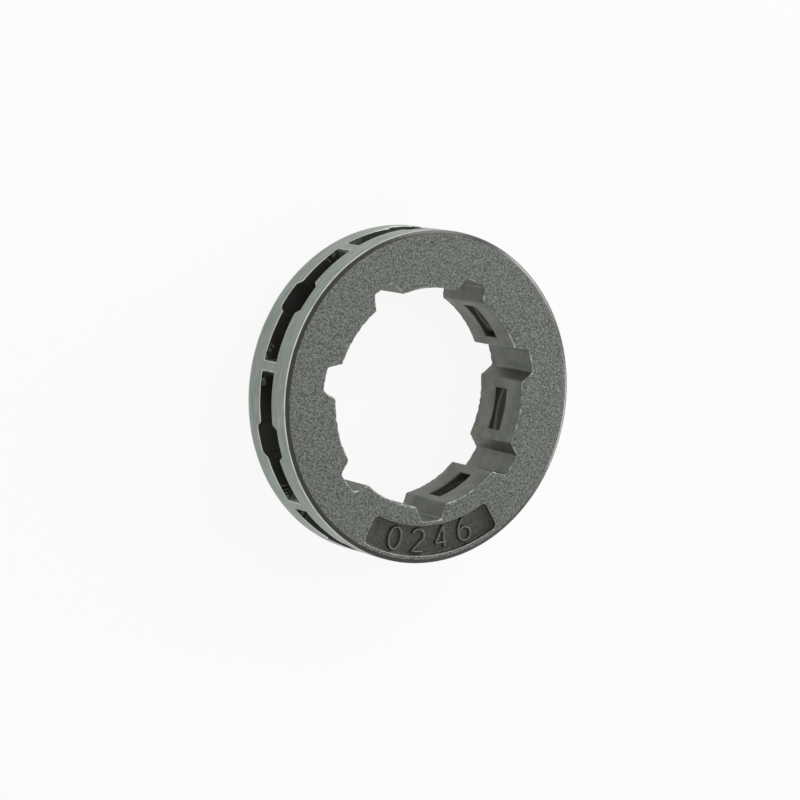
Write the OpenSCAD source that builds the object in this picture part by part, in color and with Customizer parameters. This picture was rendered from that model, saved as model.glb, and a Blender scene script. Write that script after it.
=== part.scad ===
// Rim sprocket for a chainsaw clutch drum: one cast steel ring that floats on a splined hub and
// drives the chain by the pockets round its rim. It lies on its unmarked face, with the bore axis
// on +Z. Millimetres.

/* [Ring] */
// Diameter of the ground rim that the chain's side straps ride on
rim_d = 34; // [31:0.5:40]
// Thickness from face to face
ring_t = 7.65; // [6.5:0.05:10]
// Radial width of the bevel round each face
bevel_w = 0.42; // [0.2:0.02:0.6]
// Height of that bevel along the axis
bevel_h = 0.2; // [0.1:0.02:0.5]

/* [Splined bore] */
// Number of teeth, which is also the number of splines and of chain pockets
teeth = 7; // [7:1:8]
// Bore diameter across the lands
land_d = 22.3; // [21.5:0.1:22.8]
// Bore diameter across the floors of the grooves
groove_d = 25.3; // [24.6:0.1:25.6]
// Width of a groove where it meets the lands
groove_mouth_w = 3.56; // [3.2:0.02:4]
// Width of a groove at its floor
groove_floor_w = 2.32; // [2:0.02:2.8]
// Radius on the corners between a groove and the lands
land_round = 0.3; // [0.1:0.05:0.5]
// Radius in the corners of a groove's floor
floor_round = 0.3; // [0.1:0.05:0.5]

/* [Chain pockets] */
// Width of a pocket along the axis, which the chain's drive link drops into
pocket_w = 2.34; // [1.8:0.02:2.6]
// Radius of the curved flanks and floor of a pocket
pocket_r = 8.15; // [7.8:0.05:8.3]
// Distance from the bore axis to the centre of that radius
pocket_centre = 19.87; // [19.7:0.01:20.2]
// Height of the pockets' middle plane above the middle of the ring
pocket_shift = -0.17; // [-0.5:0.01:0.5]
// Turn of the pockets against the lands, in degrees
pocket_turn = -0.8; // [-2:0.1:2]
// Width along the axis of the wider middle of a pocket
relief_w = 3.86; // [3:0.02:4.6]
// Length round the rim of that middle at its full width
relief_len = 2.78; // [2:0.02:3.4]
// Length round the rim of that middle with the slopes at its ends
relief_foot = 3.74; // [2.6:0.02:4.4]
// Radius from the bore axis down to which the wider middle is cut
relief_floor_r = 13.1; // [12.9:0.1:14.5]

/* [Windows] */
// Length round the bore of the window that opens each pocket through its land
window_len = 4.35; // [3.4:0.05:4.8]
// Width of that window along the axis, from the pocket's flank on the marked side
window_w = 2; // [1.6:0.02:2.3]
// Radius on the window's corners
window_round = 0.2; // [0.1:0.05:0.6]

/* [Marking panel] */
// Inner radius of the sunk panel in the marked face
panel_inner_r = 13.12; // [13.1:0.02:13.6]
// Outer radius of the panel
panel_outer_r = 16.18; // [15.4:0.02:16.3]
// Angle from the middle of the panel to each end, in degrees
panel_half = 30; // [15:1:40]
// Radius on the panel's corners
panel_round = 0.55; // [0.2:0.05:1]
// Depth of the panel
panel_depth = 0.6; // [0.2:0.05:1]

/* [Hidden] */
$fn = 96;
// How far a cut runs past the face that it opens through
over = 1;
// How far two outlines that are joined run into each other
lap = 0.2;
// Facets in each small corner radius of the bore
corner_steps = 5;
rim_r = rim_d / 2;
land_r = land_d / 2;
groove_r = groove_d / 2;
pitch_angle = 360 / teeth;
pocket_z = ring_t / 2 + pocket_shift;
window_z = pocket_z + (pocket_w - window_w) / 2;
// Radius at which the window is out in the open pocket
window_reach = pocket_centre - sqrt(pocket_r ^ 2 - (window_len / 2) ^ 2) + lap;

// Corner of a groove on the land circle, and the one on the floor circle, with the groove on +Y
mouth = [groove_mouth_w / 2, sqrt(land_r ^ 2 - (groove_mouth_w / 2) ^ 2)];
floor_corner = [groove_floor_w / 2, sqrt(groove_r ^ 2 - (groove_floor_w / 2) ^ 2)];
// Unit vector up the flank, and the one that points out of the groove into the metal
flank = (floor_corner - mouth) / norm(floor_corner - mouth);
into = [flank.y, -flank.x];

// Distance along a line from a point, in a unit direction, to the circle of radius r round the axis
function to_circle(from, dir, r) = -from * dir + sqrt((from * dir) ^ 2 - from * from + r ^ 2);

// Centre of the radius that rounds the land's corner: it touches the flank and the land circle
land_start = mouth + into * land_round;
land_round_at = land_start + flank * to_circle(land_start, flank, land_r + land_round);
// Centre of the radius in the floor's corner: it touches the flank and the floor circle
floor_start = mouth - into * floor_round;
floor_round_at = floor_start + flank * to_circle(floor_start, flank, groove_r - floor_round);

// Heading of a vector, in degrees
function heading(v) = atan2(v.y, v.x);

// Points along an arc from one heading to another
function arc(centre, r, start, end) =
    [for (i = [0 : corner_steps])
        let (a = start + (end - start) * i / corner_steps) centre + r * [cos(a), sin(a)]];

// Point a little past the end of a line, where the line runs on into another outline
function past(from, to) = to + lap * (to - from) / norm(to - from);

// One groove of the bore, on +Y: rounded at the land, along the flank, rounded into the floor
module groove() {
    land_arc = arc(land_round_at, land_round, heading(-land_round_at), heading(-into));
    floor_arc = arc(floor_round_at, floor_round, heading(into), heading(floor_round_at));
    foot = past(land_arc[1], land_arc[0]);
    head = past(floor_arc[corner_steps - 1], floor_arc[corner_steps]);
    right = concat([[mouth.x, land_r / 2], foot],
                   [for (i = [1 : corner_steps]) land_arc[i]],
                   [for (i = [0 : corner_steps - 1]) floor_arc[i]],
                   [head, [head.x, 1.1 * groove_r]]);
    left = [for (i = [len(right) - 1 : -1 : 0]) [-right[i].x, right[i].y]];
    intersection() {
        circle(groove_r, $fn = 180);
        polygon(concat(right, left));
    }
}

// Outline of the splined bore: the land circle, with the first groove on -Y
module bore_outline() {
    circle(land_r, $fn = 180);
    for (i = [0 : teeth - 1])
        rotate(180 + i * pitch_angle)
            groove();
}

// Wedge with its point on the axis, open towards +X, that reaches half degrees to each side
module wedge(half, reach) {
    polygon([[0, 0], [reach, -reach * tan(half)], [reach, reach * tan(half)]]);
}

// Part of a ring between two radii and within half degrees of +X
module ring_sector(inner, outer, half) {
    intersection() {
        difference() {
            circle(outer);
            circle(inner);
        }
        wedge(half, 1.2 * outer);
    }
}

// Outline of the marking panel: a ring sector with rounded corners
module panel_outline() {
    outer_turn = asin(panel_round / (panel_outer_r - panel_round));
    inner_turn = asin(panel_round / (panel_inner_r + panel_round));
    middle_r = (panel_inner_r + panel_outer_r) / 2;
    ring_sector(panel_inner_r + panel_round, panel_outer_r - panel_round, panel_half);
    ring_sector(middle_r, panel_outer_r, panel_half - outer_turn);
    ring_sector(panel_inner_r, middle_r, panel_half - inner_turn);
    for (side = [-1, 1]) {
        rotate(side * (panel_half - outer_turn))
            translate([panel_outer_r - panel_round, 0])
                circle(panel_round);
        rotate(side * (panel_half - inner_turn))
            translate([panel_inner_r + panel_round, 0])
                circle(panel_round);
    }
}

// The ring before anything is cut into it, bevelled at both faces
module blank() {
    rotate_extrude($fn = 180)
        polygon([[land_r - over, 0], [rim_r - bevel_w, 0], [rim_r, bevel_h],
                 [rim_r, ring_t - bevel_h], [rim_r - bevel_w, ring_t], [land_r - over, ring_t]]);
}

// The space that a drive link drops into, on +X: the curved pocket and its wider middle
module chain_pocket() {
    translate([pocket_centre, 0, 0])
        cylinder(h = pocket_w, r = pocket_r, center = true);
    translate([relief_floor_r, 0, 0])
        rotate([90, 0, 90])
            linear_extrude(rim_r - relief_floor_r + over)
                polygon([[-relief_len / 2, -relief_w / 2], [relief_len / 2, -relief_w / 2],
                         [relief_foot / 2, -pocket_w / 2], [relief_foot / 2, pocket_w / 2],
                         [relief_len / 2, relief_w / 2], [-relief_len / 2, relief_w / 2],
                         [-relief_foot / 2, pocket_w / 2], [-relief_foot / 2, -pocket_w / 2]]);
}

// The window that opens a pocket through its land, on +X: a rectangle with rounded corners
module land_window() {
    translate([land_r - over, 0, 0])
        rotate([90, 0, 90])
            linear_extrude(window_reach - land_r + over) {
                square([window_len - 2 * window_round, window_w], center = true);
                square([window_len, window_w - 2 * window_round], center = true);
                for (x = [-1, 1], y = [-1, 1])
                    translate([x * (window_len / 2 - window_round),
                               y * (window_w / 2 - window_round)])
                        circle(window_round, $fn = 24);
            }
}

// The whole casting. Groove 1 and the middle of the marking panel lie towards -Y.
module rim_sprocket() {
    color("dimgray")
        difference() {
            blank();
            translate([0, 0, -over])
                linear_extrude(ring_t + 2 * over)
                    bore_outline();
            for (i = [0 : teeth - 1])
                rotate((i + 0.5) * pitch_angle - 90) {
                    translate([0, 0, window_z])
                        land_window();
                    rotate(pocket_turn)
                        translate([0, 0, pocket_z])
                            chain_pocket();
                }
            translate([0, 0, ring_t - panel_depth])
                linear_extrude(panel_depth + over)
                    rotate(-90)
                        panel_outline();
        }
}

rim_sprocket();
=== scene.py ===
import bmesh
import bpy
import numpy as np
from mathutils import Matrix, Vector


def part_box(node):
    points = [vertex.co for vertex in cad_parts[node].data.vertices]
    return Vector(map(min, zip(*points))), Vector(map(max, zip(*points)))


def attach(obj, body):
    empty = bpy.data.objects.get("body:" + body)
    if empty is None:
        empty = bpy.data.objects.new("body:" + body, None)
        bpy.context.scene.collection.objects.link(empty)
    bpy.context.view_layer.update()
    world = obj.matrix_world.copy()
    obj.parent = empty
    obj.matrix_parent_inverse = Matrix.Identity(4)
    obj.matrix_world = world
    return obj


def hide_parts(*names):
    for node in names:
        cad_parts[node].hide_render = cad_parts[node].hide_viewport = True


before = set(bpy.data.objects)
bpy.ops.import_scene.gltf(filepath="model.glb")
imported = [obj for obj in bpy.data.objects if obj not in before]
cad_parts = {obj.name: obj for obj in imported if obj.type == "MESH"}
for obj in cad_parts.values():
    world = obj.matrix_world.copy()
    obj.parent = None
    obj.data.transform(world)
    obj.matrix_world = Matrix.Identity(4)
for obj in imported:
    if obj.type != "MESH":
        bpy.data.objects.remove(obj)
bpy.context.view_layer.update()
MM = 0.001

# The ring: one steel casting that floats on the clutch drum's splined hub. Its rim is ground for
# the chain's side straps, and its bore, pockets and faces stay as they came from the mould. It is
# built from surfaces that meet along their sharp edges, all on the same columns round the ring.
TEETH = 7
PITCH = 2 * np.pi / TEETH
rim_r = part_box("rim_sprocket")[1].x
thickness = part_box("rim_sprocket")[1].z
rng = np.random.default_rng(11)

land_r = 11.15 * MM
groove_r = 12.65 * MM
groove_mouth = 3.56 * MM
groove_floor = 2.32 * MM
land_round = 0.3 * MM
floor_round = 0.3 * MM
bevel_w = 0.42 * MM
bevel_h = 0.2 * MM
bevel_round = 0.07 * MM

pocket_r = 8.15 * MM
pocket_centre = 19.87 * MM
pocket_turn = np.radians(-0.8)
pocket_top = thickness / 2 + 1.0 * MM
pocket_foot = pocket_top - 2.34 * MM
relief_rise = 0.76 * MM
relief_len = 2.78 * MM
relief_foot = 3.74 * MM
relief_r = 13.1 * MM
window_len = 4.35 * MM
window_foot = pocket_top - 2.0 * MM

# Half the columns of a pitch, from a pocket's middle out: to the corner of its wider part, down
# the slope, to the window's end, to the pocket's end, and to the middle of the tooth
HALF_COLUMNS = [10, 2, 1, 38, 3]
WINDOW_COLUMN = sum(HALF_COLUMNS[:3])
SLOT_COLUMN = sum(HALF_COLUMNS[:4])
HALF = sum(HALF_COLUMNS)


def spread(marks, counts):
    """Numbers spaced evenly between each mark and the next, with one count per gap."""
    runs = [np.linspace(a, b, n, endpoint=False) for a, b, n in zip(marks, marks[1:], counts)]
    return np.concatenate(runs + [marks[-1:]])


def turned(points, angle):
    """The points of an array (..., 2 or more), turned about the bore axis by an angle."""
    x, y = points[..., 0], points[..., 1]
    flat = [x * np.cos(angle) - y * np.sin(angle), x * np.sin(angle) + y * np.cos(angle)]
    return np.stack(flat + [points[..., i] for i in range(2, points.shape[-1])], axis=-1)


def round_the_ring(points):
    """One pitch of points, (columns, 2) with a pocket on +X, repeated into the closed loop."""
    pitches = [turned(points[:-1], (i + 0.5) * PITCH - np.pi / 2) for i in range(TEETH)]
    return np.concatenate(pitches + [pitches[0][:1]])


def arc(centre, radius, start, end, count=40):
    """Points on an arc: centre + radius * (cos a, sin a), with a going evenly from start to end."""
    a = np.linspace(start, end, count)
    return centre + radius * np.stack([np.cos(a), np.sin(a)], axis=1)


def heading(v):
    """Angle of a vector in the plane."""
    return np.arctan2(v[1], v[0])


def on_circle(start, way, radius):
    """Point where a line from start, in the unit direction way, meets a circle round the axis."""
    along = start @ way
    return start + way * (np.sqrt(along ** 2 - start @ start + radius ** 2) - along)


def evenly(points, count, turn_weight):
    """A polyline resampled at even steps of its length plus turn_weight times its turning."""
    step = np.diff(points, axis=0)
    length = np.hypot(step[:, 0], step[:, 1])
    angle = np.unwrap(np.arctan2(step[:, 1], step[:, 0]))
    turning = np.abs(np.diff(angle, prepend=angle[0]))
    measure = np.concatenate([[0], np.cumsum(length + turn_weight * turning)])
    at = np.linspace(0, measure[-1], count + 1)
    return np.stack([np.interp(at, measure, points[:, i]) for i in (0, 1)], axis=1)


def groove_side():
    """Half of a groove on +Y, from its middle to the land: floor arc, corner, flank, corner."""
    mouth = np.array([groove_mouth / 2, np.sqrt(land_r ** 2 - groove_mouth ** 2 / 4)])
    corner = np.array([groove_floor / 2, np.sqrt(groove_r ** 2 - groove_floor ** 2 / 4)])
    flank = (corner - mouth) / np.hypot(*(corner - mouth))
    into = np.array([flank[1], -flank[0]])
    at_floor = on_circle(mouth - into * floor_round, flank, groove_r - floor_round)
    at_land = on_circle(mouth + into * land_round, flank, land_r + land_round)
    axis = np.zeros(2)
    window_end = np.pi / 2 - PITCH / 2 + np.arcsin(window_len / 2 / land_r)
    return np.concatenate([
        arc(axis, groove_r, np.pi / 2, heading(at_floor)),
        arc(at_floor, floor_round, heading(at_floor), heading(into))[1:],
        arc(at_land, land_round, heading(-into), heading(-at_land)),
        arc(axis, land_r, heading(at_land), window_end)[1:]])


# One pitch of the rim's columns, in the pocket's own direction, and of the bore's columns
slot_end_x = (rim_r ** 2 + pocket_centre ** 2 - pocket_r ** 2) / (2 * pocket_centre)
slot_end_y = np.sqrt(rim_r ** 2 - slot_end_x ** 2)
window_middle_r = 1.08 * land_r
window_slip = -window_middle_r * np.sin(pocket_turn)
side_marks = {}
for side in (1, -1):
    window_end_y = window_len / 2 + side * window_slip
    last_y = slot_end_y - 0.35 * MM
    groove_y = rim_r * np.sin(PITCH / 2 - np.arcsin(groove_floor / 2 / groove_r))
    marks = [0, relief_len / 2, relief_foot / 2, window_end_y, groove_y, last_y, slot_end_y]
    y = spread(marks, HALF_COLUMNS[:3] + [HALF_COLUMNS[3] - 5, 4, 1])
    tooth = np.linspace(np.arcsin(slot_end_y / rim_r), PITCH / 2, HALF_COLUMNS[4] + 1)
    side_marks[side] = np.concatenate([np.arcsin(y / rim_r), tooth[1:]])
rim_angle = np.concatenate([-side_marks[-1][:0:-1], side_marks[1]])
rim_y = rim_r * np.sin(rim_angle)

groove_half = evenly(groove_side(), HALF - WINDOW_COLUMN, 0.6 * MM)
window_y = rim_y[HALF - WINDOW_COLUMN + 1:HALF + WINDOW_COLUMN] - window_slip
window_land = np.stack([np.sqrt(land_r ** 2 - window_y ** 2), window_y], axis=1)
land_end = turned(groove_half, PITCH / 2 - np.pi / 2)
bore_pitch = np.concatenate([land_end * [1, -1], window_land, land_end[::-1]])
rim_pitch = turned(rim_r * np.stack([np.cos(rim_angle), np.sin(rim_angle)], axis=1), pocket_turn)
bore_loop = round_the_ring(bore_pitch)
rim_loop = round_the_ring(rim_pitch)
rim_way = rim_loop / rim_r
tangent = np.gradient(np.concatenate([bore_loop[-2:-1], bore_loop, bore_loop[1:2]]), axis=0)[1:-1]
bore_out = np.stack([tangent[:, 1], -tangent[:, 0]], axis=1)
bore_out /= np.hypot(bore_out[:, 0], bore_out[:, 1])[:, None]
COLUMNS = len(rim_loop) - 1


def ripple(flat, size):
    """Random lumps about `size` across, near 1 high: the sum of cos(2 pi k . p / size + phase) over
    seeded waves whose directions k point all ways and whose lengths differ."""
    waves = 48
    way = rng.uniform(0, 2 * np.pi, waves)
    k = np.stack([np.cos(way), np.sin(way)]) * rng.uniform(0.6, 1.5, waves)
    phase = rng.uniform(0, 2 * np.pi, waves)
    return np.cos(2 * np.pi * (flat @ k) / size + phase).sum(axis=-1) * np.sqrt(2 / waves)


def lift(flat, z):
    """Points in the plane, (..., 2), given a height."""
    return np.concatenate([flat, np.broadcast_to(z, flat.shape[:-1])[..., None]], axis=-1)


def loft(first, last, rows):
    """Rows between two lines of points: (1 - s) * first + s * last, with s even from 0 to 1, or
    as listed."""
    s = np.linspace(0, 1, rows + 1) if isinstance(rows, int) else np.array(rows)
    return (1 - s[:, None, None]) * first + s[:, None, None] * last


surfaces = []


def skin(points, keep=None, wear_and_flank_light=0, pocket_shade=0):
    """Notes a grid of points, (rows, columns, 3), which of its cells belong to the ring, how far each
    point is worn bright or painted lit, and how much painted shade it takes in a pocket, from 0 to 1."""
    if keep is None:
        keep = np.ones((points.shape[0] - 1, points.shape[1] - 1), bool)
    surfaces.append((points, keep, wear_and_flank_light, pocket_shade))


def skin_pockets(points, wear_and_flank_light=0, pocket_shade=0):
    """Notes a grid that is drawn for the pocket on +X seven times, once in each pocket."""
    for i in range(TEETH):
        skin(turned(points, (i + 0.5) * PITCH - np.pi / 2), None, wear_and_flank_light, pocket_shade)


# The two faces, from the rolled edge at the bore out to the bevel and the start of the rim
panel_inner = 13.12 * MM
panel_outer = 16.18 * MM
panel_half = np.radians(30)
panel_round = 0.55 * MM
panel_depth = 0.6 * MM
panel_roll = 0.12 * MM
ROLL_ROWS = 5


def rolled_edge(face_z, side, radius):
    """Quarter round from the bore's wall to a face: out by r (1 - cos b), and short of the face by
    r (1 - sin b), with b from 0 to a right angle."""
    b = np.linspace(0, np.pi / 2, ROLL_ROWS + 1)[:, None]
    out = radius * (1 - np.cos(b))
    return lift(bore_loop + bore_out * out[..., None], face_z - side * radius * (1 - np.sin(b)))


def soft_corner(before, corner, after, size, count=3):
    """A corner cut short by size on both sides and bridged by a quadratic curve."""
    first = corner + size * (before - corner) / np.hypot(*(before - corner))
    last = corner + size * (after - corner) / np.hypot(*(after - corner))
    q = np.linspace(0, 1, count + 1)[:, None]
    return (1 - q) ** 2 * first + 2 * q * (1 - q) * corner + q ** 2 * last


def rim_profile(face_z, side):
    """Section of the bevel, as (radius, height), from the face to the rim, with soft corners."""
    face = np.array([panel_outer, face_z])
    bevel_in = np.array([rim_r - bevel_w, face_z])
    bevel_out = np.array([rim_r, face_z - side * bevel_h])
    rim = np.array([rim_r, thickness / 2])
    return np.concatenate([soft_corner(face, bevel_in, bevel_out, bevel_round),
                           soft_corner(bevel_in, bevel_out, rim, bevel_round)])


# Angles of the columns from the panel's middle, and the columns at the panel's two ends
from_panel = np.arctan2(rim_loop[:, 0], -rim_loop[:, 1])
panel_ends = [np.argmin(np.abs(from_panel - end)) for end in (-panel_half, panel_half)]


def rounded_sector(grow):
    """Grid between the panel's radii whose lines follow its outline, grown by `grow` all round.
    Near a corner, a point at distances (X, Y) from the corner's centre, both positive, goes to a
    circle of radius max(X, Y), at an angle in proportion to how far round the square it was."""
    middle = (panel_inner + panel_outer) / 2
    half = panel_half + grow / middle
    round_r = panel_round + grow
    spare = np.radians(8)
    pull = [-panel_half - spare, from_panel[panel_ends[0]], -panel_half + spare,
            panel_half - spare, from_panel[panel_ends[1]], panel_half + spare]
    angle = np.interp(from_panel, pull, [pull[0], -half, pull[2], pull[3], half, pull[5]],
                      left=np.nan, right=np.nan)
    angle = np.where(np.isnan(angle), from_panel, angle)
    r, a = np.meshgrid(np.linspace(panel_inner - grow, panel_outer + grow, 15), angle, indexing="ij")
    across = np.abs(r - middle) - (panel_outer - panel_inner) / 2 - grow + round_r
    along = (np.abs(a) - half) * r + round_r
    size = np.maximum(np.maximum(across, along), 0.001 * MM)
    turn = np.pi / 4 * np.where(across > along, 2 - along / size, across / size)
    fade = np.clip(1 - (size - round_r) / (0.35 * MM), 0, 1) * ((across > 0) & (along > 0))
    new_across = (1 - fade) * across + fade * size * np.sin(turn)
    new_along = (1 - fade) * along + fade * size * np.cos(turn)
    r = r + np.sign(r - middle) * (new_across - across)
    a = a + np.sign(a) * (new_along - along) / r
    return np.stack([r * np.sin(a), -r * np.cos(a)], axis=-1)


# The cast edges round the bore: their radius varies, and is held down where the panel comes close
round_limit = np.interp(np.hypot(*bore_loop.T), [0.93 * groove_r, 0.98 * groove_r],
                        [0.24 * MM, 0.19 * MM])
front_round = 0.21 * MM * np.exp(0.35 * ripple(bore_loop, 0.8 * MM))
front_roll = rolled_edge(thickness, 1, np.clip(front_round, 0.1 * MM, round_limit))
back_round = 0.16 * MM * np.exp(0.3 * ripple(bore_loop, 0.8 * MM))
back_roll = rolled_edge(0, -1, np.clip(back_round, 0.08 * MM, round_limit))
roll_shape = np.sqrt(np.sin(np.linspace(0, np.pi, ROLL_ROWS + 1)).clip(0))[:, None]
roll_worn = roll_shape * np.clip(0.48 + 0.12 * ripple(bore_loop, 0.9 * MM), 0.35, 0.75)
band = rounded_sector(panel_roll)
for face_z, side, edge in ((thickness, 1, front_roll), (0, -1, back_roll)):
    profile = rim_profile(face_z, side)
    turned_rows = lift(rim_way * profile[:, None, :1], profile[:, 1:])
    plain = lift(rim_way * np.linspace(panel_inner, panel_outer, 5)[:, None, None], face_z)
    middle_rows = lift(band, face_z) if side > 0 else plain
    keep = np.ones((len(middle_rows) - 1, COLUMNS), bool)
    if side > 0:
        panel_columns = np.arange(panel_ends[0], panel_ends[1] + COLUMNS) % COLUMNS
        keep[:, panel_columns] = False
    skin(edge, None, roll_worn)
    skin(loft(edge[-1], middle_rows[0], 6))
    skin(middle_rows, keep)
    skin(loft(middle_rows[-1], turned_rows[0], 2))
    skin(turned_rows, None, (np.arange(len(profile)) > len(profile) / 2)[:, None])


def border(grid):
    """The points round the edge of a grid, closed."""
    return np.concatenate([grid[0], grid[1:, -1], grid[-1, -2::-1], grid[-2::-1, 0]])


# The marking panel: the cells that the front face leaves out, sunk, and a wall that rolls over the
# face's edge by a quarter round, drops straight, and rolls into the floor
floor_columns = np.append(panel_columns, (panel_columns[-1] + 1) % COLUMNS)
panel_floor = rounded_sector(-panel_roll)[:, floor_columns]
quarter = np.linspace(0, np.pi / 2, 4)
wall_in = np.concatenate([np.sin(quarter) / 2, 1 - np.cos(quarter) / 2])[:, None, None]
wall_down = np.concatenate([panel_roll * (1 - np.cos(quarter)),
                            panel_depth - panel_roll * (1 - np.sin(quarter))])[:, None]
skin(lift(panel_floor, thickness - panel_depth))
skin(lift((1 - wall_in) * border(band[:, floor_columns]) + wall_in * border(panel_floor),
          thickness - wall_down), None, np.array([0, 0.5, 0.5, 0, 0, 0, 0, 0])[:, None])

# The rim, the pockets and the windows
pocket = slice(HALF - SLOT_COLUMN, HALF + SLOT_COLUMN + 1)
window = slice(HALF - WINDOW_COLUMN, HALF + WINDOW_COLUMN + 1)
slope = np.clip((relief_foot / 2 - np.abs(rim_y)) / (relief_foot - relief_len) * 2, 0, 1)
edge_top = pocket_top + relief_rise * slope
edge_foot = pocket_foot - relief_rise * slope


def pocket_floor(y):
    """Distance of the pocket's curved floor from the bore axis, along the pocket's direction."""
    return pocket_centre - np.sqrt(pocket_r ** 2 - y ** 2)


y = rim_y[pocket]
rim_x = np.sqrt(rim_r ** 2 - y ** 2)
floor_x = pocket_floor(y)
foot_x = np.sqrt(rim_r ** 2 - relief_foot ** 2 / 4)
share = (relief_r - pocket_floor(relief_foot / 2)) / (foot_x - pocket_floor(relief_foot / 2))
in_relief = np.abs(y) < relief_foot / 2 + 0.001 * MM
step_x = np.where(in_relief, relief_r, floor_x + share * (rim_x - floor_x))


def in_pocket(x, z, columns=slice(None)):
    """A line of points across a pocket at distance x from the axis and height z."""
    flat = turned(np.stack([x, y], axis=1), pocket_turn)
    return lift(flat, z)[columns]


relief_cells = np.flatnonzero(in_relief)
relief_cells = slice(relief_cells[0], relief_cells[-1] + 1)
open_cells = slice(SLOT_COLUMN - WINDOW_COLUMN, SLOT_COLUMN + WINDOW_COLUMN + 1)
# Painted shade in a pocket: none at the slot's ends, full from 1.3 mm in from them
pocket_shade_ramp = np.clip((slot_end_y - np.abs(y)) / (1.3 * MM), 0, 1)
# Painted light: the pocket's floor brightens towards the slot's ends, where light reaches in
flank_painted_light = 0.6 * np.clip((np.abs(y) - slot_end_y) / (0.9 * MM) + 1, 0, 1)
EDGE = np.array([1, 0, 0, 0])[:, None]
for wall_z, edge_z in ((pocket_top, edge_top[pocket]), (pocket_foot, edge_foot[pocket])):
    skin_pockets(loft(in_pocket(rim_x, edge_z), in_pocket(step_x, edge_z), [0, 0.04, 0.5, 1]),
                 EDGE, pocket_shade_ramp)
    step = loft(in_pocket(step_x, edge_z), in_pocket(step_x, wall_z), 1)
    skin_pockets(step[:, relief_cells], 0, 1)
    skin_pockets(loft(in_pocket(step_x, wall_z), in_pocket(floor_x, wall_z), 2), 0, pocket_shade_ramp)
FLOOR_ROWS = 3
floor_line = in_pocket(floor_x, pocket_top)
sill_line = in_pocket(floor_x, window_foot)
for columns in (slice(0, open_cells.start + 1), slice(open_cells.stop - 1, None)):
    skin_pockets(loft(floor_line, sill_line, FLOOR_ROWS)[:, columns], flank_painted_light[columns],
                 pocket_shade_ramp[columns])
skin_pockets(loft(sill_line, in_pocket(floor_x, pocket_foot), 1), flank_painted_light, pocket_shade_ramp)

land_line = bore_pitch[window]
for wall_z in (pocket_top, window_foot):
    skin_pockets(loft(lift(land_line, wall_z), in_pocket(floor_x, wall_z, open_cells), 1), 0, 1)
for column in (0, -1):
    rows = loft(lift(land_line, pocket_top), lift(land_line, window_foot), FLOOR_ROWS)[:, column]
    far = loft(floor_line, sill_line, FLOOR_ROWS)[:, open_cells][:, column]
    skin_pockets(loft(rows, far, 1), 0, 1)

tooth_line = rim_pitch[HALF + SLOT_COLUMN:]
tooth_start = rim_pitch[:HALF - SLOT_COLUMN + 1]
at_slot = np.array([1, 0, 0, 0])
for line, wear_and_flank_light in ((tooth_line, at_slot), (tooth_start, at_slot[::-1])):
    skin_pockets(loft(lift(line, pocket_top), lift(line, window_foot), FLOOR_ROWS), wear_and_flank_light)
    skin_pockets(loft(lift(line, window_foot), lift(line, pocket_foot), 1), wear_and_flank_light)
front_rim = lift(rim_way * rim_r, rim_profile(thickness, 1)[-1, 1])
back_rim = lift(rim_way * rim_r, rim_profile(0, -1)[-1, 1])
edge_top_loop = np.append(np.tile(edge_top[:-1], TEETH), edge_top[0])
edge_foot_loop = np.append(np.tile(edge_foot[:-1], TEETH), edge_foot[0])
slot_edge = np.append(np.tile(np.abs(rim_y[:-1]) <= slot_end_y + 0.001 * MM, TEETH), False)
rim_worn = np.zeros((5, COLUMNS + 1))
rim_worn[0] = 1
rim_worn[-1] = slot_edge
skin(loft(front_rim, lift(rim_loop, edge_top_loop), [0, 0.06, 0.5, 0.94, 1]), None, rim_worn)
skin(loft(back_rim, lift(rim_loop, edge_foot_loop), [0, 0.06, 0.5, 0.94, 1]), None, rim_worn)

# The bore's wall, open at the windows
column_in_pitch = np.arange(COLUMNS) % (2 * HALF)
solid = (column_in_pitch < window.start) | (column_in_pitch >= window.stop - 1)
skin(loft(front_roll[0], lift(bore_loop, pocket_top), 4))
skin(loft(lift(bore_loop, pocket_top), lift(bore_loop, window_foot), FLOOR_ROWS),
     np.tile(solid, (FLOOR_ROWS, 1)))
skin(loft(lift(bore_loop, window_foot), back_roll[0], 4))

# All surfaces in one mesh, joined where they meet
corners = []
cells = []
values = {"wear_and_flank_light": [], "pocket_shade": []}
count = 0
for points, keep, wear_and_flank_light, pocket_shade in surfaces:
    rows, columns = points.shape[:2]
    index = count + np.arange(rows * columns).reshape(rows, columns)
    quads = np.stack([index[:-1, :-1], index[:-1, 1:], index[1:, 1:], index[1:, :-1]], axis=-1)
    corners.append(points.reshape(-1, 3))
    cells.append(quads[keep])
    values["wear_and_flank_light"].append(np.broadcast_to(wear_and_flank_light, (rows, columns)).ravel())
    values["pocket_shade"].append(np.broadcast_to(pocket_shade, (rows, columns)).ravel())
    count += rows * columns
mesh = bpy.data.meshes.new("ring")
mesh.from_pydata(np.concatenate(corners), [], np.concatenate(cells))
vertex_of_corner = np.empty(len(mesh.loops), int)
mesh.loops.foreach_get("vertex_index", vertex_of_corner)
for name, lists in values.items():
    layer = mesh.attributes.new(name, "FLOAT", "CORNER")
    layer.data.foreach_set("value", np.concatenate(lists)[vertex_of_corner].astype(np.float32))
solid_mesh = bmesh.new()
solid_mesh.from_mesh(mesh)
bmesh.ops.remove_doubles(solid_mesh, verts=solid_mesh.verts, dist=0.0005 * MM)
bmesh.ops.delete(solid_mesh, geom=[v for v in solid_mesh.verts if not v.link_faces], context="VERTS")
bmesh.ops.recalc_face_normals(solid_mesh, faces=solid_mesh.faces)
solid_mesh.to_mesh(mesh)
solid_mesh.free()
mesh.shade_smooth()
ring = bpy.data.objects.new("cast_ring", mesh)
bpy.context.scene.collection.objects.link(ring)
edges = ring.modifiers.new("edges", "BEVEL")
edges.limit_method = "ANGLE"
edges.angle_limit = np.radians(48)
edges.width = 0.08 * MM
edges.segments = 2
edges.use_clamp_overlap = False
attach(ring, "root")
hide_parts("rim_sprocket")


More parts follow.
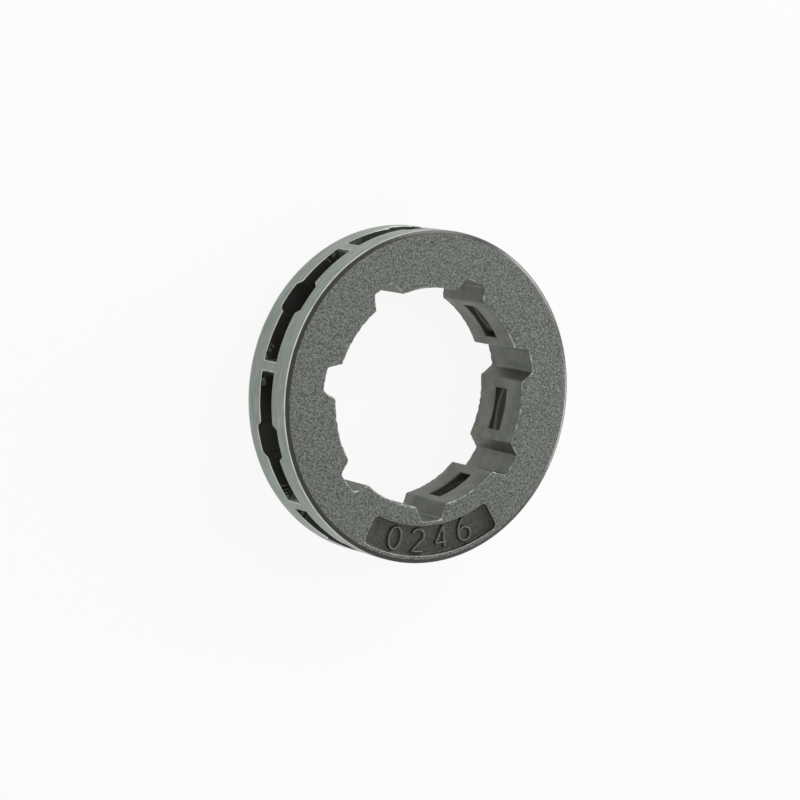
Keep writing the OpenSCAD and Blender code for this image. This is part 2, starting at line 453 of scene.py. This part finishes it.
class Socket:
    """An output in a node tree. Arithmetic on it adds Math nodes, and node() adds any other."""

    def __init__(self, tree, output=None):
        self.tree = tree
        self.output = output

    def node(self, kind, settings, inputs, output=0):
        """Adds a node, sets its settings, then its inputs to values or to other sockets."""
        made = self.tree.nodes.new(kind)
        for name, value in settings.items():
            setattr(made, name, value)
        for name, value in inputs.items():
            if isinstance(value, Socket):
                self.tree.links.new(value.output, made.inputs[name])
            else:
                made.inputs[name].default_value = value
        return Socket(self.tree, made.outputs[output])

    def math(self, operation, *values):
        """Adds a Math node on this socket or on other values."""
        return self.node("ShaderNodeMath", {"operation": operation}, dict(enumerate(values)))

    def __add__(self, other):
        return self.math("ADD", self, other)

    def __sub__(self, other):
        return self.math("SUBTRACT", self, other)

    def __rsub__(self, other):
        return self.math("SUBTRACT", other, self)

    def __mul__(self, other):
        return self.math("MULTIPLY", self, other)

    def __truediv__(self, other):
        return self.math("DIVIDE", self, other)

    __radd__ = __add__
    __rmul__ = __mul__

    def rise(self, low, high):
        """0 below low, 1 above high, and smooth between."""
        settings = {"interpolation_type": "SMOOTHSTEP"}
        return self.node("ShaderNodeMapRange", settings, {0: self, 1: low, 2: high, 3: 0.0, 4: 1.0})

    def mix(self, first, last):
        """The colour first where this is 0, last where it is 1."""
        settings = {"data_type": "RGBA"}
        return self.node("ShaderNodeMix", settings, {0: self, 6: first, 7: last}, output=2)


material = bpy.data.materials.new("cast_steel")
material.use_nodes = True
shader = material.node_tree.nodes["Principled BSDF"]
steel = Socket(material.node_tree)
place = steel.node("ShaderNodeTexCoord", {}, {}, output="Object")
place = steel.node("ShaderNodeVectorMath", {"operation": "SCALE"}, {0: place, "Scale": 1 / MM})
x, y, z = [steel.node("ShaderNodeSeparateXYZ", {}, {0: place}, output=i) for i in range(3)]
along_rim = steel.node("ShaderNodeVectorMath", {"operation": "MULTIPLY"}, {0: place, 1: (0.5, 0.5, 5)})
radius = (x * x + y * y).math("SQRT", x * x + y * y)
half_mm = thickness / 2 / MM
rim_mm = rim_r / MM
from_middle = (z - half_mm).math("ABSOLUTE", z - half_mm)
wear_and_flank_light = steel.node("ShaderNodeAttribute", {"attribute_name": "wear_and_flank_light"}, {}, output="Fac")
pocket_shade = steel.node("ShaderNodeAttribute", {"attribute_name": "pocket_shade"}, {}, output="Fac")


def noise(scale, detail=2.0, rough_part=0.5, vector=place):
    """Soft noise, 0 to 1, with scale lumps to a millimetre."""
    return steel.node("ShaderNodeTexNoise", {"noise_dimensions": "3D"},
                      {"Vector": vector, "Scale": scale, "Detail": detail, "Roughness": rough_part})


# Where each finish is: the ground rim, the turned bevels, the cast faces, and the panel's floor.
# The bore and the pockets are what is left.
jagged = radius + (noise(4) - 0.5) * 0.22
ground = radius.rise(rim_mm - 0.1, rim_mm - 0.03) * (half_mm - from_middle).rise(0.14, 0.22)
bevelled = jagged.rise(rim_mm - 0.46, rim_mm - 0.4) * (1 - ground)
bevelled = bevelled * from_middle.rise(half_mm - 0.3, half_mm - 0.24)
face = from_middle.rise(half_mm - 0.2, half_mm - 0.1)
sunk = z.rise(2 * half_mm - 1.0, 2 * half_mm - 0.62) - z.rise(2 * half_mm - 0.45, 2 * half_mm - 0.2)
sunk = sunk * radius.rise(12.8, 13.1) * (1 - radius.rise(16.2, 16.4))
cast = face.math("MAXIMUM", face, sunk) * (1 - bevelled) * (1 - ground)

grain = noise(4.6, 3.0, 0.62)
speck = grain.rise(0.3, 0.7) * 0.75 + noise(1.6, 2.0) * 0.25
blotch = noise(0.6, 2.0)
streak = noise(1.0, 3.0, 0.6, along_rim)
face_colour = speck.mix((0.034, 0.037, 0.033, 1), (0.22, 0.235, 0.21, 1))
sunk_colour = grain.rise(0.3, 0.7).mix((0.045, 0.045, 0.038, 1), (0.09, 0.092, 0.078, 1))
bore_colour = blotch.rise(0.3, 0.7).mix((0.13, 0.143, 0.122, 1), (0.19, 0.203, 0.172, 1))
rim_colour = streak.rise(0.3, 0.7).mix((0.2, 0.235, 0.2, 1), (0.31, 0.35, 0.31, 1))
colour = cast.mix(bore_colour, sunk.mix(face_colour, sunk_colour))
# Painted shade: inside the pockets and windows the colour goes near black, for the shade that falls
# there
colour = pocket_shade.mix(colour, (0.065, 0.067, 0.058, 1))
# Painted shade: the turned bevels are painted near black and not metallic, standing in for the dark
# surroundings they reflect
colour = bevelled.mix(colour, (0.022, 0.021, 0.019, 1))
colour = ground.mix(colour, rim_colour)
# Bright bare metal on worn edges, and painted light on the pockets' end flanks
edge = wear_and_flank_light.rise(0.2, 0.95) * (0.6 + 0.4 * blotch.rise(0.35, 0.6))
colour = edge.mix(colour, (0.7, 0.72, 0.68, 1))
roughness = 0.5 + cast * 0.02 - ground * 0.12 - bevelled * 0.25 - edge * 0.15
height = cast * (1 - sunk * 0.6) * grain + (1 - cast) * (1 - ground) * noise(3) * 0.15
height = height + ground * streak * 0.06
bump = steel.node("ShaderNodeBump", {}, {"Height": height, "Distance": 0.075 * MM, "Strength": 1.0})
metallic = 0.75 - bevelled * (1 - edge) * 0.75
finish = {"Base Color": colour, "Roughness": roughness, "Metallic": metallic, "Normal": bump}
for name, value in finish.items():
    material.node_tree.links.new(value.output, shader.inputs[name])
mesh.materials.append(material)

# The figures: plain even numerals, spaced as on a dial, cast in relief on the panel's floor and
# about half as high as the panel is deep. Each stroke is a round-topped ridge with round ends.
figure_height = 2.3 * MM
figure_width = 0.62
figure_pitch = np.radians(11)
figure_row = "0246"
ridge_w = 0.36 * MM
ridge_h = 0.34 * MM
ridge_sink = 0.06 * MM


def bend(middle_x, middle_y, across, up, start, end, count=28):
    """Part of an ellipse, from one angle in degrees to another."""
    a = np.radians(np.linspace(start, end, count))
    return np.stack([middle_x + across * np.cos(a), middle_y + up * np.sin(a)], axis=1)


# Strokes of each figure, in a box that is figure_width wide and 1 high
half_w = figure_width / 2
FIGURES = {
    "2": [np.concatenate([bend(half_w, 0.7, half_w, 0.3, 165, -32), [(0.02, 0.02)], [(0.04, 0)],
                          [(figure_width, 0)]])],
    "6": [np.concatenate([bend(1.25, 0.33, 1.25, 0.95, 132, 178),
                          bend(half_w, 0.31, half_w, 0.31, 180, 540, 50)])],
    "0": [bend(half_w, 0.5, half_w, 0.5, 90, 450, 60)],
    "4": [np.array([(0.46, 0), (0.46, 0.98), (0.44, 0.99), (0.02, 0.3), (0.03, 0.28),
                    (figure_width, 0.28)])]}


def ridge(path):
    """Grid round a stroke: an ellipse ridge_w wide, ridge_h high and ridge_sink deep, square to the
    path. Within half a width of an end it is scaled by sqrt(1 - u^2), with u from 0 to 1 at the
    end. A path that closes on itself has no ends."""
    closed = np.allclose(path[0], path[-1])
    step = np.hypot(*np.diff(path, axis=0).T)
    length = np.concatenate([[0], np.cumsum(step)])
    near = ridge_w / 2 * (1 - np.cos(np.linspace(0, np.pi / 2, 5)))
    middle = np.linspace(ridge_w / 2, length[-1] - ridge_w / 2, 40)[1:-1]
    s = np.concatenate([near, middle, length[-1] - near[::-1]])
    line = np.stack([np.interp(s, length, path[:, i]) for i in (0, 1)], axis=1)
    before, after = (line[-2:-1], line[1:2]) if closed else (line[:1], line[-1:])
    way = np.gradient(np.concatenate([before, line, after]), axis=0)[1:-1]
    way /= np.hypot(way[:, 0], way[:, 1])[:, None]
    side_way = np.stack([-way[:, 1], way[:, 0]], axis=1)
    from_end = np.clip(np.minimum(s, length[-1] - s) / (ridge_w / 2), 0, 1)
    swell = np.sqrt(1 - (1 - np.maximum(from_end, closed)) ** 2)[:, None]
    a = np.concatenate([np.linspace(0, np.pi, 9), np.linspace(np.pi, 2 * np.pi, 5)[1:]])
    flat = line[:, None] + side_way[:, None] * (ridge_w / 2 * swell * np.cos(a))[..., None]
    return flat, swell * np.where(np.sin(a) > 0, ridge_h, ridge_sink) * np.sin(a)


figure_points = []
figure_faces = []
for place_no, name in enumerate(figure_row):
    turn = (place_no - (len(figure_row) - 1) / 2) * figure_pitch
    for stroke in FIGURES[name]:
        flat, height = ridge((stroke - [half_w, 0.5]) * figure_height)
        r = (panel_inner + panel_outer) / 2 - flat[..., 1]
        points = np.stack([flat[..., 0], -r, thickness - panel_depth - ridge_sink + height], axis=-1)
        points = turned(points, turn)
        rows, columns = points.shape[:2]
        index = sum(len(p) for p in figure_points) + np.arange(rows * columns).reshape(rows, columns)
        figure_points.append(points.reshape(-1, 3))
        figure_faces.append(np.stack([index[:-1, :-1], index[1:, :-1], index[1:, 1:], index[:-1, 1:]],
                                     axis=-1).reshape(-1, 4))
figures_mesh = bpy.data.meshes.new("figures")
figures_mesh.from_pydata(np.concatenate(figure_points), [], np.concatenate(figure_faces))
closed_figures = bmesh.new()
closed_figures.from_mesh(figures_mesh)
bmesh.ops.remove_doubles(closed_figures, verts=closed_figures.verts, dist=0.0005 * MM)
bmesh.ops.recalc_face_normals(closed_figures, faces=closed_figures.faces)
closed_figures.to_mesh(figures_mesh)
closed_figures.free()
figures_mesh.shade_smooth()
figures = bpy.data.objects.new("panel_figures", figures_mesh)
bpy.context.scene.collection.objects.link(figures)
figures_mesh.materials.append(material)
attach(figures, "root")

# The floor: a wide plain pale sheet, white to the camera and to reflections
floor_size = 3.0
floor_mesh = bpy.data.meshes.new("floor")
floor_mesh.from_pydata([(-floor_size, -floor_size, 0), (floor_size, -floor_size, 0),
                        (floor_size, floor_size, 0), (-floor_size, floor_size, 0)], [],
                       [(0, 1, 2, 3)])
floor = bpy.data.objects.new("floor", floor_mesh)
bpy.context.scene.collection.objects.link(floor)


def seen_white(tree):
    """1 for the rays that see the background: the camera's, and glossy and transmission rays."""
    path = tree.nodes.new("ShaderNodeLightPath")
    seen = Socket(tree, path.outputs["Is Camera Ray"])
    for name in ("Is Glossy Ray", "Is Transmission Ray"):
        seen = seen.math("MAXIMUM", seen, Socket(tree, path.outputs[name]))
    return seen


paint = bpy.data.materials.new("floor")
paint.use_nodes = True
sheet = Socket(paint.node_tree)
glow = sheet.node("ShaderNodeEmission", {}, {"Color": (1, 1, 1, 1), "Strength": 1.0})
matt = Socket(paint.node_tree, paint.node_tree.nodes["Principled BSDF"].outputs[0])
paint.node_tree.nodes["Principled BSDF"].inputs["Base Color"].default_value = (0.95, 0.95, 0.95, 1)
white_part = seen_white(paint.node_tree) * 0.9
blend = sheet.node("ShaderNodeMixShader", {}, {0: white_part, 1: matt, 2: glow})
paint.node_tree.links.new(blend.output, paint.node_tree.nodes["Material Output"].inputs[0])
floor_mesh.materials.append(paint)

world = bpy.data.worlds.new("studio")
bpy.context.scene.world = world
world.use_nodes = True
sky = world.node_tree.nodes["Background"]
sky.inputs["Color"].default_value = (1, 1, 1, 1)
strength = 0.5 + seen_white(world.node_tree) * 0.5
world.node_tree.links.new(strength.output, sky.inputs["Strength"])


def softbox(name, direction, distance, size, energy):
    """A square area lamp that faces the ring from a direction."""
    data = bpy.data.lights.new(name, "AREA")
    data.energy = energy
    data.size = size
    lamp = bpy.data.objects.new(name, data)
    bpy.context.scene.collection.objects.link(lamp)
    lamp.location = Vector(direction).normalized() * distance
    lamp.rotation_euler = lamp.location.to_track_quat("Z", "Y").to_euler()


softbox("top", (0.53, 0.68, 0.5), 0.5, 0.2, 0.6)
softbox("right", (0.92, 0.25, 0.32), 0.5, 0.16, 0.7)
softbox("side", (0.96, -0.22, 0.14), 0.5, 0.16, 0.5)

# The camera, where the photograph was taken from: a long lens above the marked face
camera = bpy.data.objects.new("camera", bpy.data.cameras.new("camera"))
bpy.context.scene.collection.objects.link(camera)
bpy.context.scene.camera = camera
camera.data.lens = 135
camera.data.sensor_width = 36
camera.data.clip_start = 0.01
right = Vector((0.84534, -0.00539, 0.5342))
back = Vector((-0.52823, 0.14106, 0.8373))
up = back.cross(right)
camera.matrix_world = Matrix((right, up, back)).transposed().to_4x4()
camera.matrix_world.translation = Vector((-162.905, 42.576, 259.984)) * MM
bpy.context.scene.view_settings.view_transform = "Standard"
